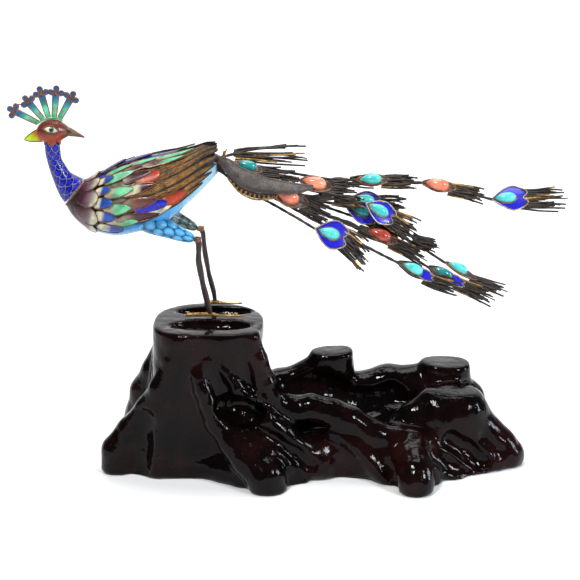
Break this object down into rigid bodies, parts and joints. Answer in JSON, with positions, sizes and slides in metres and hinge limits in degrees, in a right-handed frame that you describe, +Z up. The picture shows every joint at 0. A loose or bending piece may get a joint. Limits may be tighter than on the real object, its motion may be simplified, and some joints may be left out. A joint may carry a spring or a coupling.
{
  "type": "peacock figurine",
  "caption": "Enamelled silver peacock with stone-set wire tail feathers, standing on a carved and lacquered root wood stand.",
  "frame": {"origin": "middle of the stand's flat underside, on the table", "axes": "+X from the bird's breast to its tail, -Y the side that shows its left wing, +Z up"},
  "size_m": [0.2225, 0.0698, 0.1561],
  "materials": {
    "lacquered_wood": "gloss dark lacquer",
    "breast_enamel": "glossy enamel on silver",
    "blue_enamel": "glossy enamel on silver",
    "sky_enamel": "glossy enamel on silver",
    "red_enamel": "glossy enamel on silver",
    "green_enamel": "glossy enamel on silver",
    "lime_enamel": "glossy enamel on silver",
    "beak_enamel": "satin enamel on silver",
    "gilt_filigree": "worn gilt filigree on silver",
    "dark_wire": "tarnished silver wire, nearly black",
    "gilt_wire": "worn gilding on silver wire",
    "grey_metal": "satin grey tarnished silver sheet",
    "turquoise": "polished",
    "coral": "polished"
  },
  "bodies": {
    "root": {"beak": "beak_enamel", "body": "breast_enamel", "coral_long_2": "coral", "coral_low_coral": "coral", "coral_under_coral": "coral", "coral_upper_coral": "coral", "crest": "green_enamel", "feather_far_heart": "dark_wire", "feather_far_low": "dark_wire", "feather_front_heart": "dark_wire", "feather_inner": "dark_wire", "feather_long": "dark_wire", "feather_low_coral": "dark_wire", "feather_middle_heart": "dark_wire", "feather_middle_low": "dark_wire", "feather_near_low": "dark_wire", "feather_shaded_heart": "dark_wire", "feather_top_wires": "dark_wire", "feather_under_coral": "dark_wire", "feather_upper_coral": "dark_wire", "foot_left": "gilt_wire", "foot_right": "gilt_wire", "head": "red_enamel", "leg_left": "dark_wire", "leg_right": "dark_wire", "nape_lappet": "lime_enamel", "neck": "blue_enamel", "shield_plate": "grey_metal", "stand": "lacquered_wood", "thigh_left": "sky_enamel", "thigh_right": "sky_enamel", "turquoise_far_heart": "turquoise", "turquoise_far_low": "turquoise", "turquoise_front_heart": "turquoise", "turquoise_inner": "turquoise", "turquoise_long_1": "turquoise", "turquoise_long_3": "turquoise", "turquoise_middle_heart": "turquoise", "turquoise_middle_low": "turquoise", "turquoise_near_low": "turquoise", "turquoise_shaded_heart": "turquoise", "undertail_scroll": "gilt_filigree", "wing_left": "gilt_filigree", "wing_right": "gilt_filigree"}
  },
  "joints": []
}
